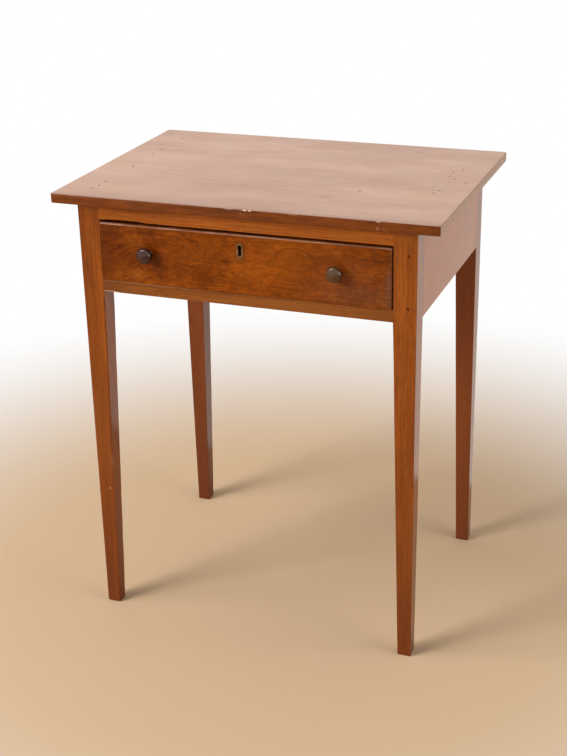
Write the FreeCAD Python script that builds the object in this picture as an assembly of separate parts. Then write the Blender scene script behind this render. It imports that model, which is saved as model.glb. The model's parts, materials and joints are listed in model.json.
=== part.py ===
import FreeCAD, Part
import math
import os
from FreeCAD import Rotation, Vector

# Small cherry tavern table with one drawer.
# Millimetres, +X to the right, +Y to the back, +Z up, the feet stand on zero.

# Whole table
table_height = 723.0
top_width = 610.0
top_depth = 437.0
top_thickness = 15.0
top_corner_round = 4.0
top_arris_round = 1.5
side_overhang = 36.5
front_overhang = 17.0
back_overhang = 6.0

# Legs, square above and tapered on their two inner faces below the aprons
leg_size = 35.5
foot_size = 22.0
foot_ease = 1.5
leg_arris_round = 0.8

# Aprons and front rails
apron_height = 141.0
apron_thickness = 21.0
top_rail_height = 25.0
bottom_rail_height = 19.5

# Joints of the frame
tenon_setback = 9.0
tenon_thickness = 8.0
tenon_top_shoulder = 18.0
tenon_low_shoulder = 12.0
tenon_wall = 2.0
tenon_clearance = 0.15
twin_tenon_thickness = 7.0
twin_tenon_shoulder = 2.0
twin_tenon_shares = (0.3, 0.7)
dovetail_neck = 12.0
dovetail_tail = 17.0
dovetail_depth = 16.0

# Strips that carry, guide and hold down the drawer
runner_width = 35.0
guide_height = 16.0
guide_gap = 0.5
kicker_width = 30.0
stop_width = 30.0
stop_depth = 15.0
stop_headroom = 1.5
stop_gap = 0.3
stop_place_shares = (0.2, 0.8)

# Drawer
drawer_left_gap = 1.0
drawer_right_gap = 1.8
drawer_top_gap = 4.0
drawer_back_gap = 5.5
drawer_running_gap = 0.3
drawer_proud = 2.0
drawer_front_thickness = 20.0
drawer_front_round = 1.6
drawer_side_thickness = 11.0
drawer_side_drop = 4.0
drawer_back_thickness = 11.0
drawer_back_drop = 6.0

# Dovetails of the drawer
lap_thickness = 7.0
pin_wide = 9.0
pin_narrow = 5.0
pin_clearance = 0.1
front_pin_shares = (0.0, 1 / 3, 2 / 3, 1.0)
back_pin_shares = (0.0, 0.5, 1.0)

# Drawer bottom, a panel in grooves
groove_rise = 9.0
groove_depth = 5.5
tongue_thickness = 5.0
tongue_clearance = 0.15
panel_thickness = 8.0

# Knobs
knob_projection = 22.0
knob_head_diameter = 25.5
knob_rim_height = 12.6
knob_face_diameter = 19.4
knob_face_rise = 3.4
knob_under_diameter = 20.8
knob_under_height = 7.6
knob_neck_diameter = 11.8
knob_foot_diameter = 14.5
knob_tenon_diameter = 10.0
knob_tenon_clearance = 0.1
knob_place_shares = (0.171, 0.821)
knob_height_share = 0.54

# Keyhole and its let-in plate
keyhole_place_share = 0.4957
keyhole_drop = 24.5
keyhole_height = 17.5
keyhole_eye_diameter = 7.0
keyhole_slot_width = 5.2
escutcheon_width = 11.5
escutcheon_height = 23.5
escutcheon_depth = 2.0
escutcheon_proud = 0.4

# Half-mortise lock on the back of the drawer front
lock_plate_width = 64.0
lock_plate_thickness = 1.6
lock_margin = 8.0
lock_case_width = 44.0
lock_case_depth = 8.0
lock_case_wall = 1.2
lock_case_margin = 4.0
lock_case_clearance = 0.3
bolt_width = 14.0
bolt_thickness = 4.0
bolt_throw = 10.0
bolt_clearance = 0.3
bolt_end_gap = 3.0
bolt_mortise_clearance = 1.2
key_pin_diameter = 2.4
key_room = 3.5
screw_head_diameter = 5.0
screw_head_thickness = 1.0
screw_diameter = 2.8
screw_length = 11.0
screw_inset = 5.0

# Cut nails
nail_shank = 2.4
nail_tip = 1.0
nail_head_width = 3.2
nail_head_length = 5.0
nail_head_thickness = 1.0
nail_bite = 12.0
top_nail_bite = 25.0
runner_nail_shares = (0.12, 0.5, 0.88)
guide_nail_shares = (0.25, 0.75)
kicker_nail_shares = (0.2, 0.8)
panel_nail_shares = (0.15, 0.5, 0.85)
leg_nail_shares = (0.165, 0.727)
# Each pair is a place along the apron, from leg to leg, and one across its thickness
left_top_nail_shares = ((0.03, 0.25), (0.10, 0.30), (0.38, 0.22), (0.62, 0.38), (0.72, 0.42), (0.95, 0.24))
right_top_nail_shares = ((0.32, 0.22), (0.37, 0.47), (0.565, 0.78), (0.61, 0.22), (0.68, 0.22), (0.735, 0.78))
# One more nail goes into the left front leg
left_leg_top_nail_shares = (0.82, 0.35)

# Extra reach of every cut
overrun = 2.0


# Plain shapes
def block(x, y, z):
    return Part.makeBox(x[1] - x[0], y[1] - y[0], z[1] - z[0], Vector(x[0], y[0], z[0]))


def grown(span, amount):
    return (span[0] - amount, span[1] + amount)


def around(middle, size):
    return (middle - size / 2, middle + size / 2)


def at_share(span, share):
    return span[0] + share * (span[1] - span[0])


def ordered(first, second):
    return (min(first, second), max(first, second))


def upright(edge):
    way = edge.tangentAt(edge.FirstParameter)
    return abs(way.z) > math.hypot(way.x, way.y)


def prism(points, direction):
    outline = Part.makePolygon(points + [points[0]])
    return Part.Face(outline).extrude(direction)


def rod(start, direction, diameter, length):
    return Part.makeCylinder(diameter / 2, length, start, direction)


def eased_square(x, y, z, radius):
    slab = block(x, y, (z, z + radius))
    rounded = slab.makeFillet(radius, [edge for edge in slab.Edges if upright(edge)])
    lowest = min(rounded.Faces, key=lambda face: face.CenterOfMass.z)
    return lowest.OuterWire


def nail(head_middle, drive, length):
    head = block(
        around(0, nail_head_width), around(0, nail_head_length), (-nail_head_thickness, 0),
    )
    neck = Part.makePlane(
        nail_shank, nail_shank, Vector(-nail_shank / 2, -nail_shank / 2, -nail_head_thickness),
    )
    tip = Part.makePlane(nail_tip, nail_tip, Vector(-nail_tip / 2, -nail_tip / 2, -length))
    shank = Part.makeLoft([neck.OuterWire, tip.OuterWire], True, True)
    whole = head.fuse(shank).removeSplitter()
    whole.Placement = FreeCAD.Placement(head_middle, Rotation(Vector(0, 0, -1), drive))
    return whole


def save(name, shape):
    shape.exportStep("parts/" + name + ".step")


# Places worked out from the sizes above
front_reach = max(front_overhang, drawer_proud + knob_projection)
frame_depth = top_depth - front_overhang - back_overhang
frame_front = front_reach - (front_reach + frame_depth + back_overhang) / 2
frame_back = frame_front + frame_depth
frame_half = top_width / 2 - side_overhang
leg_top = table_height - top_thickness
apron_bottom = leg_top - apron_height
top_rail_bottom = leg_top - top_rail_height
bottom_rail_top = apron_bottom + bottom_rail_height
opening_half = frame_half - leg_size
front_leg_back = frame_front + leg_size
back_leg_front = frame_back - leg_size
tenon_length = leg_size - tenon_setback - tenon_thickness - tenon_wall
apron_inner = frame_half - apron_thickness

apron_z = (apron_bottom, leg_top)
between_legs_y = (front_leg_back, back_leg_front)
rail_y = (frame_front, front_leg_back)
tenon_z = (apron_bottom + tenon_low_shoulder, leg_top - tenon_top_shoulder)

drawer_x = (drawer_left_gap - opening_half, opening_half - drawer_right_gap)
drawer_front_y = frame_front - drawer_proud
drawer_front_back = drawer_front_y + drawer_front_thickness
drawer_end = back_leg_front - drawer_back_gap
drawer_low = bottom_rail_top + drawer_running_gap
drawer_high = top_rail_bottom - drawer_top_gap
side_high = drawer_high - drawer_side_drop
side_start = drawer_front_y + lap_thickness
back_start = drawer_end - drawer_back_thickness
groove_z = (drawer_low + groove_rise, drawer_low + groove_rise + tongue_thickness + 2 * tongue_clearance)
panel_top = groove_z[1] - tongue_clearance
panel_low = panel_top - panel_thickness
back_z = (panel_top, side_high - drawer_back_drop)
stop_y = (drawer_front_back + stop_gap, drawer_front_back + stop_gap + stop_depth)
stop_z = (bottom_rail_top, panel_low - stop_headroom)
knob_z = drawer_low + knob_height_share * (drawer_high - drawer_low)

keyhole_x = at_share(drawer_x, keyhole_place_share)
keyhole_z = drawer_high - keyhole_drop
keyhole_eye_z = keyhole_z + (keyhole_height - keyhole_eye_diameter) / 2
lock_plate_y = (drawer_front_back - lock_plate_thickness, drawer_front_back)
lock_case_y = (lock_plate_y[0] - lock_case_depth, lock_plate_y[0])
lock_low = keyhole_z - keyhole_height / 2 - lock_margin
selvage_z = (drawer_high - lock_plate_thickness, drawer_high)
bolt_y_middle = (lock_case_y[0] + lock_case_wall + lock_case_y[1]) / 2
bolt_low = keyhole_eye_z + key_pin_diameter / 2 + key_room
bolt_mortise_depth = bolt_throw - drawer_top_gap + bolt_end_gap


# Joints that two pieces of the frame share: slack is zero on the tenon
def side_tenon(side, end, slack):
    outer = side * (frame_half - tenon_setback)
    x = ordered(outer, outer - side * tenon_thickness)
    shoulder = front_leg_back if end < 0 else back_leg_front
    y = ordered(shoulder, shoulder + end * tenon_length)
    return block(grown(x, slack), grown(y, slack), grown(tenon_z, slack))


def back_tenon(side, slack):
    x = ordered(side * opening_half, side * (opening_half + tenon_length))
    outer = frame_back - tenon_setback
    y = (outer - tenon_thickness, outer)
    return block(grown(x, slack), grown(y, slack), grown(tenon_z, slack))


def twin_tenons(side, slack):
    x = ordered(side * opening_half, side * (opening_half + tenon_length))
    z = (apron_bottom + twin_tenon_shoulder, bottom_rail_top - twin_tenon_shoulder)
    pair = []
    for share in twin_tenon_shares:
        y = around(at_share(rail_y, share), twin_tenon_thickness)
        pair.append(block(grown(x, slack), grown(y, slack), grown(z, slack)))
    return Part.makeCompound(pair)


def rail_dovetail(side, slack):
    neck_x = side * opening_half
    tail_x = side * (opening_half + tenon_length + slack)
    middle = sum(rail_y) / 2
    neck = dovetail_neck / 2 + slack
    tail = dovetail_tail / 2 + slack
    low = leg_top - dovetail_depth - slack
    points = [
        Vector(neck_x, middle - neck, low),
        Vector(tail_x, middle - tail, low),
        Vector(tail_x, middle + tail, low),
        Vector(neck_x, middle + neck, low),
    ]
    return prism(points, Vector(0, 0, leg_top + slack - low))


# Nails, made first so that each piece of wood is pierced by them
def top_nail(side, y, across):
    x = side * (apron_inner + across * apron_thickness)
    return nail(Vector(x, y, table_height), Vector(0, 0, -1), top_thickness + top_nail_bite)


def make_top_nails():
    along, across = left_leg_top_nail_shares
    nails = [top_nail(-1, at_share(rail_y, along), across)]
    for side, places in ((-1, left_top_nail_shares), (1, right_top_nail_shares)):
        for along, across in places:
            nails.append(top_nail(side, at_share(between_legs_y, along), across))
    return Part.makeCompound(nails)


def make_leg_nails():
    x = frame_half - tenon_setback - tenon_thickness / 2
    length = leg_size - tenon_length + nail_bite
    heads = [Vector(x, frame_front, at_share(apron_z, share)) for share in leg_nail_shares]
    return Part.makeCompound([nail(head, Vector(0, 1, 0), length) for head in heads])


def strip_nails(inner, z, shares, length):
    nails = []
    for side in (-1, 1):
        for share in shares:
            head = Vector(side * inner, at_share(between_legs_y, share), z)
            nails.append(nail(head, Vector(side, 0, 0), length))
    return Part.makeCompound(nails)


def guide_x(side):
    edge = drawer_x[0] - guide_gap if side < 0 else drawer_x[1] + guide_gap
    return ordered(side * apron_inner, edge)


def make_guide_nails():
    z = bottom_rail_top + guide_height
    nails = []
    for side in (-1, 1):
        for share in guide_nail_shares:
            head = Vector(sum(guide_x(side)) / 2, at_share(between_legs_y, share), z)
            nails.append(nail(head, Vector(0, 0, -1), guide_height + nail_bite))
    return Part.makeCompound(nails)


def make_stop_nails():
    nails = []
    for share in stop_place_shares:
        head = Vector(at_share(drawer_x, share), sum(stop_y) / 2, stop_z[1])
        nails.append(nail(head, Vector(0, 0, -1), stop_z[1] - stop_z[0] + nail_bite))
    return Part.makeCompound(nails)


def make_panel_nails():
    nails = []
    for share in panel_nail_shares:
        head = Vector(at_share(drawer_x, share), (back_start + drawer_end) / 2, panel_low)
        nails.append(nail(head, Vector(0, 0, 1), panel_thickness + nail_bite))
    return Part.makeCompound(nails)


top_nails = make_top_nails()
leg_nails = make_leg_nails()
runner_nails = strip_nails(
    apron_inner - runner_width, apron_bottom + bottom_rail_height / 2, runner_nail_shares,
    runner_width + nail_bite,
)
kicker_nails = strip_nails(
    apron_inner - kicker_width, top_rail_bottom + top_rail_height / 2, kicker_nail_shares,
    kicker_width + nail_bite,
)
guide_nails = make_guide_nails()
stop_nails = make_stop_nails()
panel_nails = make_panel_nails()


# Table top, one wide board with softened corners and arrises
def make_top():
    x = around(0, top_width)
    y = (frame_front - front_overhang, frame_back + back_overhang)
    board = block(x, y, (leg_top, table_height))
    board = board.makeFillet(top_corner_round, [edge for edge in board.Edges if upright(edge)])
    board = board.makeFillet(top_arris_round, [edge for edge in board.Edges if not upright(edge)])
    return board.cut(top_nails)


# Legs
def leg_section(side, end, size, inset, z):
    outer_x = side * frame_half
    outer_y = frame_front if end < 0 else frame_back
    x = ordered(outer_x, outer_x - side * size)
    y = ordered(outer_y, outer_y - end * size)
    return eased_square(grown(x, -inset), grown(y, -inset), z, leg_arris_round)


def make_leg(side, end):
    ease_size = foot_size + (leg_size - foot_size) * foot_ease / apron_bottom
    taper = Part.makeLoft([
        leg_section(side, end, foot_size, foot_ease / 2, 0),
        leg_section(side, end, ease_size, 0, foot_ease),
        leg_section(side, end, leg_size, 0, apron_bottom),
    ], True, True)
    square = Part.Face(leg_section(side, end, leg_size, 0, apron_bottom))
    leg = taper.fuse(square.extrude(Vector(0, 0, apron_height))).removeSplitter()
    leg = leg.cut(side_tenon(side, end, tenon_clearance)).cut(top_nails)
    if end > 0:
        return leg.cut(back_tenon(side, tenon_clearance))
    leg = leg.cut(twin_tenons(side, tenon_clearance)).cut(rail_dovetail(side, tenon_clearance))
    return leg.cut(leg_nails)


# Aprons and front rails
def make_side_apron(side):
    x = ordered(side * apron_inner, side * frame_half)
    apron = block(x, between_legs_y, apron_z)
    for end in (-1, 1):
        apron = apron.fuse(side_tenon(side, end, 0))
    for nails in (top_nails, leg_nails, runner_nails, kicker_nails):
        apron = apron.cut(nails)
    return apron.removeSplitter()


def make_back_apron():
    apron = block((-opening_half, opening_half), (frame_back - apron_thickness, frame_back), apron_z)
    for side in (-1, 1):
        apron = apron.fuse(back_tenon(side, 0))
    return apron.removeSplitter()


def make_top_rail():
    rail = block((-opening_half, opening_half), rail_y, (top_rail_bottom, leg_top))
    for side in (-1, 1):
        rail = rail.fuse(rail_dovetail(side, 0))
    mortise = block(
        around(keyhole_x, bolt_width + 2 * bolt_mortise_clearance),
        around(bolt_y_middle, bolt_thickness + 2 * bolt_mortise_clearance),
        (top_rail_bottom - overrun, top_rail_bottom + bolt_mortise_depth),
    )
    return rail.removeSplitter().cut(mortise)


def make_bottom_rail():
    rail = block((-opening_half, opening_half), rail_y, (apron_bottom, bottom_rail_top))
    for side in (-1, 1):
        rail = rail.fuse(twin_tenons(side, 0))
    return rail.removeSplitter().cut(stop_nails)


# Strips inside the frame
def make_runner(side):
    x = ordered(side * apron_inner, side * (apron_inner - runner_width))
    runner = block(x, between_legs_y, (apron_bottom, bottom_rail_top))
    return runner.cut(runner_nails).cut(guide_nails)


def make_guide(side):
    z = (bottom_rail_top, bottom_rail_top + guide_height)
    return block(guide_x(side), between_legs_y, z).cut(guide_nails)


def make_kicker(side):
    x = ordered(side * apron_inner, side * (apron_inner - kicker_width))
    return block(x, between_legs_y, (top_rail_bottom, leg_top)).cut(kicker_nails)


def make_stop(share):
    x = around(at_share(drawer_x, share), stop_width)
    return block(x, stop_y, stop_z).cut(stop_nails)


# Dovetail pins: wide at the shoulder, narrow at the end of the side
def pins(x, shoulder, end, z, shares, slack):
    group = []
    for share in shares:
        middle = at_share(z, share)
        wide = pin_wide / 2 + slack
        narrow = pin_narrow / 2 + slack
        points = [
            Vector(x[0], shoulder, middle - wide),
            Vector(x[0], shoulder, middle + wide),
            Vector(x[0], end, middle + narrow),
            Vector(x[0], end, middle - narrow),
        ]
        group.append(prism(points, Vector(x[1] - x[0], 0, 0)))
    return Part.makeCompound(group)


def side_x(side):
    if side < 0:
        return (drawer_x[0], drawer_x[0] + drawer_side_thickness)
    return (drawer_x[1] - drawer_side_thickness, drawer_x[1])


def front_pins(side, slack):
    z = (drawer_low, side_high)
    return pins(side_x(side), drawer_front_back, side_start, z, front_pin_shares, slack)


def back_pins(side, slack):
    return pins(side_x(side), back_start, drawer_end, back_z, back_pin_shares, slack)


# Knobs, turned with a tenon that goes through the drawer front
def knob_profile():
    tenon = knob_tenon_diameter / 2
    face = knob_face_diameter / 2
    crown = knob_projection - knob_face_rise
    dome = (face ** 2 + knob_face_rise ** 2) / (2 * knob_face_rise)
    dome_side = knob_projection - dome + math.sqrt(dome ** 2 - (face / 2) ** 2)
    base = Vector(0, 0, -drawer_front_thickness)
    tenon_end = Vector(tenon, 0, -drawer_front_thickness)
    tenon_top = Vector(tenon, 0, 0)
    foot_edge = Vector(knob_foot_diameter / 2, 0, 0)
    waist = Vector(knob_neck_diameter / 2, 0, knob_under_height / 2)
    under = Vector(knob_under_diameter / 2, 0, knob_under_height)
    rim = Vector(knob_head_diameter / 2, 0, knob_rim_height)
    face_edge = Vector(face, 0, crown)
    tip = Vector(0, 0, knob_projection)
    return Part.Wire([
        Part.makeLine(base, tenon_end),
        Part.makeLine(tenon_end, tenon_top),
        Part.makeLine(tenon_top, foot_edge),
        Part.Arc(foot_edge, waist, under).toShape(),
        Part.Arc(under, rim, face_edge).toShape(),
        Part.Arc(face_edge, Vector(face / 2, 0, dome_side), tip).toShape(),
        Part.makeLine(tip, base),
    ])


def make_knob(share):
    knob = Part.Face(knob_profile()).revolve(Vector(0, 0, 0), Vector(0, 0, 1), 360)
    place = Vector(at_share(drawer_x, share), drawer_front_y, knob_z)
    knob.Placement = FreeCAD.Placement(place, Rotation(Vector(0, 0, 1), Vector(0, -1, 0)))
    return knob


def knob_bore(share):
    start = Vector(at_share(drawer_x, share), drawer_front_y - overrun, knob_z)
    diameter = knob_tenon_diameter + 2 * knob_tenon_clearance
    return rod(start, Vector(0, 1, 0), diameter, drawer_front_thickness + 2 * overrun)


# Keyhole and escutcheon
def upright_slot(width, height, middle_z, y):
    straight = height - width
    depth = y[1] - y[0]
    slot = block(around(keyhole_x, width), y, around(middle_z, straight))
    for z in around(middle_z, straight):
        slot = slot.fuse(rod(Vector(keyhole_x, y[0], z), Vector(0, 1, 0), width, depth))
    return slot.removeSplitter()


def keyhole(y):
    eye = rod(Vector(keyhole_x, y[0], keyhole_eye_z), Vector(0, 1, 0), keyhole_eye_diameter, y[1] - y[0])
    low = keyhole_z - keyhole_height / 2
    slot = upright_slot(keyhole_slot_width, keyhole_eye_z - low, (keyhole_eye_z + low) / 2, y)
    return eye.fuse(slot).removeSplitter()


def escutcheon_blank():
    y = (drawer_front_y - escutcheon_proud, drawer_front_y + escutcheon_depth)
    return upright_slot(escutcheon_width, escutcheon_height, keyhole_z, y)


def make_escutcheon():
    y = (drawer_front_y - escutcheon_proud - overrun, drawer_front_y + escutcheon_depth + overrun)
    return escutcheon_blank().cut(keyhole(y))


# Lock
def screw_places():
    x = grown(around(keyhole_x, lock_plate_width), -screw_inset)
    z = grown((lock_low, selvage_z[0]), -screw_inset)
    return [Vector(across, drawer_front_back, up) for across in x for up in z]


def make_screws():
    screws = []
    for place in screw_places():
        head = rod(place, Vector(0, -1, 0), screw_head_diameter, screw_head_thickness)
        shank = rod(place, Vector(0, -1, 0), screw_diameter, screw_length)
        screws.append(head.fuse(shank).removeSplitter())
    return Part.makeCompound(screws)


def bolt_slot(slack, z):
    x = around(keyhole_x, bolt_width + 2 * slack)
    y = around(bolt_y_middle, bolt_thickness + 2 * slack)
    return block(x, y, z)


def lock_plate_blank():
    x = around(keyhole_x, lock_plate_width)
    back = block(x, lock_plate_y, (lock_low, drawer_high))
    selvage = block(x, (lock_case_y[0], drawer_front_back), selvage_z)
    return back.fuse(selvage).removeSplitter()


def make_lock_plate(screws):
    slot = bolt_slot(bolt_clearance, grown(selvage_z, overrun))
    return lock_plate_blank().cut(slot).cut(screws)


def lock_case_block(slack):
    x = around(keyhole_x, lock_case_width + 2 * slack)
    z = (lock_low + lock_case_margin - slack, selvage_z[0])
    return block(x, (lock_case_y[0] - slack, lock_case_y[1]), z)


def make_lock_case():
    x = around(keyhole_x, lock_case_width - 2 * lock_case_wall)
    y = (lock_case_y[0] + lock_case_wall, lock_case_y[1] + overrun)
    z = (lock_low + lock_case_margin + lock_case_wall, selvage_z[0] + overrun)
    case = lock_case_block(0).cut(block(x, y, z))
    return case.cut(keyhole((lock_case_y[0] - overrun, lock_case_y[0] + lock_case_wall + overrun)))


def make_lock_bolt():
    return bolt_slot(0, (bolt_low, drawer_high))


def make_key_pin():
    start = Vector(keyhole_x, lock_case_y[1], keyhole_eye_z)
    return rod(start, Vector(0, -1, 0), key_pin_diameter, lock_case_depth)


# Drawer boards
def front_socket(side):
    x = side_x(side)
    reach = (x[0] - overrun, x[1]) if side < 0 else (x[0], x[1] + overrun)
    z = (drawer_low, side_high)
    deep = side_start - pin_clearance
    hollow = block(reach, (deep, drawer_front_back + overrun), z)
    return hollow.cut(pins(reach, drawer_front_back, deep, z, front_pin_shares, 0))


def make_drawer_front(screws):
    y = (drawer_front_y, drawer_front_back)
    board = block(drawer_x, y, (drawer_low, drawer_high))
    face_edges = [edge for edge in board.Edges if edge.BoundBox.YMax < sum(y) / 2]
    board = board.makeFillet(drawer_front_round, face_edges)
    for side in (-1, 1):
        board = board.cut(front_socket(side))
    groove = block(
        (side_x(-1)[1] - groove_depth - tongue_clearance, side_x(1)[0] + groove_depth + tongue_clearance),
        (drawer_front_back - groove_depth - tongue_clearance, drawer_front_back + overrun),
        groove_z,
    )
    board = board.cut(groove)
    for share in knob_place_shares:
        board = board.cut(knob_bore(share))
    board = board.cut(escutcheon_blank()).cut(keyhole((drawer_front_y, lock_case_y[0])))
    board = board.cut(lock_case_block(lock_case_clearance)).cut(lock_plate_blank())
    return board.cut(screws)


def make_drawer_side(side):
    x = side_x(side)
    board = block(x, (side_start, drawer_end), (drawer_low, side_high))
    board = board.cut(front_pins(side, pin_clearance)).cut(back_pins(side, pin_clearance))
    inner = x[1] if side < 0 else x[0]
    deep = inner + side * (groove_depth + tongue_clearance)
    groove_x = ordered(deep, inner - side * overrun)
    return board.cut(block(groove_x, (side_start - overrun, drawer_end + overrun), groove_z))


def make_drawer_back():
    inside = (side_x(-1)[1], side_x(1)[0])
    board = block(inside, (back_start, drawer_end), back_z)
    for side in (-1, 1):
        band = block(side_x(side), (back_start, drawer_end), back_z)
        board = board.fuse(band.common(back_pins(side, 0)))
    return board.removeSplitter().cut(panel_nails)


def make_drawer_bottom():
    inside_x = (side_x(-1)[1], side_x(1)[0])
    field_x = grown(inside_x, -tongue_clearance)
    field = block(field_x, (drawer_front_back + tongue_clearance, drawer_end), (panel_low, panel_top))
    tongue_y = (drawer_front_back - groove_depth, drawer_end)
    tongue = block(grown(inside_x, groove_depth), tongue_y, (panel_top - tongue_thickness, panel_top))
    return field.fuse(tongue).removeSplitter().cut(panel_nails)


def main():
    os.makedirs("parts", exist_ok=True)
    screws = make_screws()
    save("top_board", make_top())
    for side, side_name in ((-1, "left"), (1, "right")):
        for end, end_name in ((-1, "front"), (1, "back")):
            save(end_name + "_" + side_name + "_leg", make_leg(side, end))
        save(side_name + "_apron", make_side_apron(side))
        save(side_name + "_runner", make_runner(side))
        save(side_name + "_drawer_guide", make_guide(side))
        save(side_name + "_kicker", make_kicker(side))
        save("drawer_" + side_name + "_side", make_drawer_side(side))
    for name, stop_share, knob_share in zip(("left", "right"), stop_place_shares, knob_place_shares):
        save(name + "_drawer_stop", make_stop(stop_share))
        save(name + "_knob", make_knob(knob_share))
    save("back_apron", make_back_apron())
    save("front_top_rail", make_top_rail())
    save("front_bottom_rail", make_bottom_rail())
    save("top_nails", top_nails)
    save("leg_nails", leg_nails)
    save("runner_nails", runner_nails)
    save("kicker_nails", kicker_nails)
    save("guide_nails", guide_nails)
    save("stop_nails", stop_nails)
    save("drawer_bottom_nails", panel_nails)
    save("drawer_front", make_drawer_front(screws))
    save("drawer_back", make_drawer_back())
    save("drawer_bottom", make_drawer_bottom())
    save("escutcheon", make_escutcheon())
    save("lock_plate", make_lock_plate(screws))
    save("lock_case", make_lock_case())
    save("lock_bolt", make_lock_bolt())
    save("lock_key_pin", make_key_pin())
    save("lock_screws", screws)


main()
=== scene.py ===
import json
import math

import bmesh
import bpy
from mathutils import Matrix, Vector

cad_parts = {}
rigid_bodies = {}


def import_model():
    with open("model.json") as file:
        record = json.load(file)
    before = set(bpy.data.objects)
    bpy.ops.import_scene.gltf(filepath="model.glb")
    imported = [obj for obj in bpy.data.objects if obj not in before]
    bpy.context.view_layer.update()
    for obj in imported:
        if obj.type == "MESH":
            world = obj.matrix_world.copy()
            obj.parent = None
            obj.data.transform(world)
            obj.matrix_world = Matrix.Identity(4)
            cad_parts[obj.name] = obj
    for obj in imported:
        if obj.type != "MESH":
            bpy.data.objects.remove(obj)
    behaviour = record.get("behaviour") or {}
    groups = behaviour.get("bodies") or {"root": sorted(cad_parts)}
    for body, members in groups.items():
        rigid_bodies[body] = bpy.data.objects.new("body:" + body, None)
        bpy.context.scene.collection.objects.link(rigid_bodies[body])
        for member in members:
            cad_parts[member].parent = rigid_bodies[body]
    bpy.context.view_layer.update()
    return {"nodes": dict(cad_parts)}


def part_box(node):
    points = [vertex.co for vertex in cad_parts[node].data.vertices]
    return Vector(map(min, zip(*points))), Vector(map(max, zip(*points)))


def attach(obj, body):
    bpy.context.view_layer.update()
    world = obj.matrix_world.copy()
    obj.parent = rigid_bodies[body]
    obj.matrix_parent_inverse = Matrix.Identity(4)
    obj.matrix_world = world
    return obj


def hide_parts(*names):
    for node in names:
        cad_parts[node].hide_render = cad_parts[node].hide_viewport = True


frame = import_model()
mm = 0.001
print("frame loaded:", len(frame["nodes"]), "pieces")


# Selecting and editing, as with the mouse

def clearSelection():
    if bpy.context.mode != "OBJECT":
        bpy.ops.object.mode_set(mode="OBJECT")
    bpy.ops.object.select_all(action="DESELECT")


def workOn(piece):
    clearSelection()
    piece.select_set(True)
    bpy.context.view_layer.objects.active = piece


def edit(piece):
    workOn(piece)
    bpy.ops.object.mode_set(mode="EDIT")


def leaveEdit():
    bpy.ops.object.mode_set(mode="OBJECT")


def pick(piece, kind, test):
    bpy.ops.mesh.select_mode(type=kind)
    bpy.ops.mesh.select_all(action="DESELECT")
    mesh = bmesh.from_edit_mesh(piece.data)
    for part in {"VERT": mesh.verts, "EDGE": mesh.edges, "FACE": mesh.faces}[kind]:
        part.select_set(test(part))
    mesh.select_flush_mode()
    bmesh.update_edit_mesh(piece.data)


def applyModifier(piece, kind, **settings):
    workOn(piece)
    modifier = piece.modifiers.new(kind.lower(), kind)
    for setting, value in settings.items():
        setattr(modifier, setting, value)
    bpy.ops.object.modifier_apply(modifier=modifier.name)


def addBlock(name, low, high):
    clearSelection()
    middle = [(a + b) / 2 for a, b in zip(low, high)]
    size = [b - a for a, b in zip(low, high)]
    bpy.ops.mesh.primitive_cube_add(size=1, location=middle, scale=size)
    block = bpy.context.object
    block.name = name
    bpy.ops.object.transform_apply(location=True, rotation=True, scale=True)
    return block


def finishPiece(piece, node, body, material, smoothAngle=40):
    workOn(piece)
    bpy.ops.object.shade_smooth_by_angle(angle=math.radians(smoothAngle))
    applyModifier(piece, "WEIGHTED_NORMAL", keep_sharp=True)
    piece.data.materials.clear()
    piece.data.materials.append(material)
    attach(piece, body)
    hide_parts(node)


# Wear on the arrises: a softened shell is made round a CAD piece, and the piece keeps what lies inside it

# each side's axis and its way along that axis
sideWays = {
    "left": (0, -1), "right": (0, 1), "front": (1, -1), "back": (1, 1), "low": (2, -1), "high": (2, 1),
}
shellFit = {
    "skin": 0.05 * mm, "spare": 3 * mm, "sliver": 0.01 * mm, "flat": math.radians(0.5),
    "alongShare": 0.9, "arrisAngle": math.radians(30), "noiseDepth": 2, "noiseMiddle": 0.2,
}


def cadCopy(node, name):
    copy = bpy.data.objects.new(name, frame["nodes"][node].data.copy())
    bpy.context.scene.collection.objects.link(copy)
    workOn(copy)
    bpy.ops.mesh.customdata_custom_splitnormals_clear()
    edit(copy)
    bpy.ops.mesh.select_all(action="SELECT")
    bpy.ops.mesh.remove_doubles(threshold=shellFit["sliver"])
    bpy.ops.mesh.dissolve_limited(angle_limit=shellFit["flat"])
    leaveEdit()
    return copy


def shellBox(node, wornSides):
    low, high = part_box(node)
    for side, (axis, way) in sideWays.items():
        move = -shellFit["skin"] if side in wornSides else shellFit["spare"]
        if way < 0:
            low[axis] -= move
        else:
            high[axis] += move
    return low, high


def facing(normal):
    return max(sideWays, key=lambda side: normal[sideWays[side][0]] * sideWays[side][1])


def runsAlong(edge, axis):
    line = edge.verts[1].co - edge.verts[0].co
    return abs(line[axis]) > shellFit["alongShare"] * line.length


def isArris(edge, wornSides):
    if len(edge.link_faces) != 2 or edge.calc_face_angle(0) < shellFit["arrisAngle"]:
        return False
    return all(facing(face.normal) in wornSides for face in edge.link_faces)


def divideAlong(shell, steps):
    for axis, step in steps.items():
        pick(shell, "EDGE", lambda edge: runsAlong(edge, axis))
        places = [vert.co[axis] for vert in bmesh.from_edit_mesh(shell.data).verts]
        bpy.ops.mesh.subdivide(number_cuts=round((max(places) - min(places)) / step))


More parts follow.
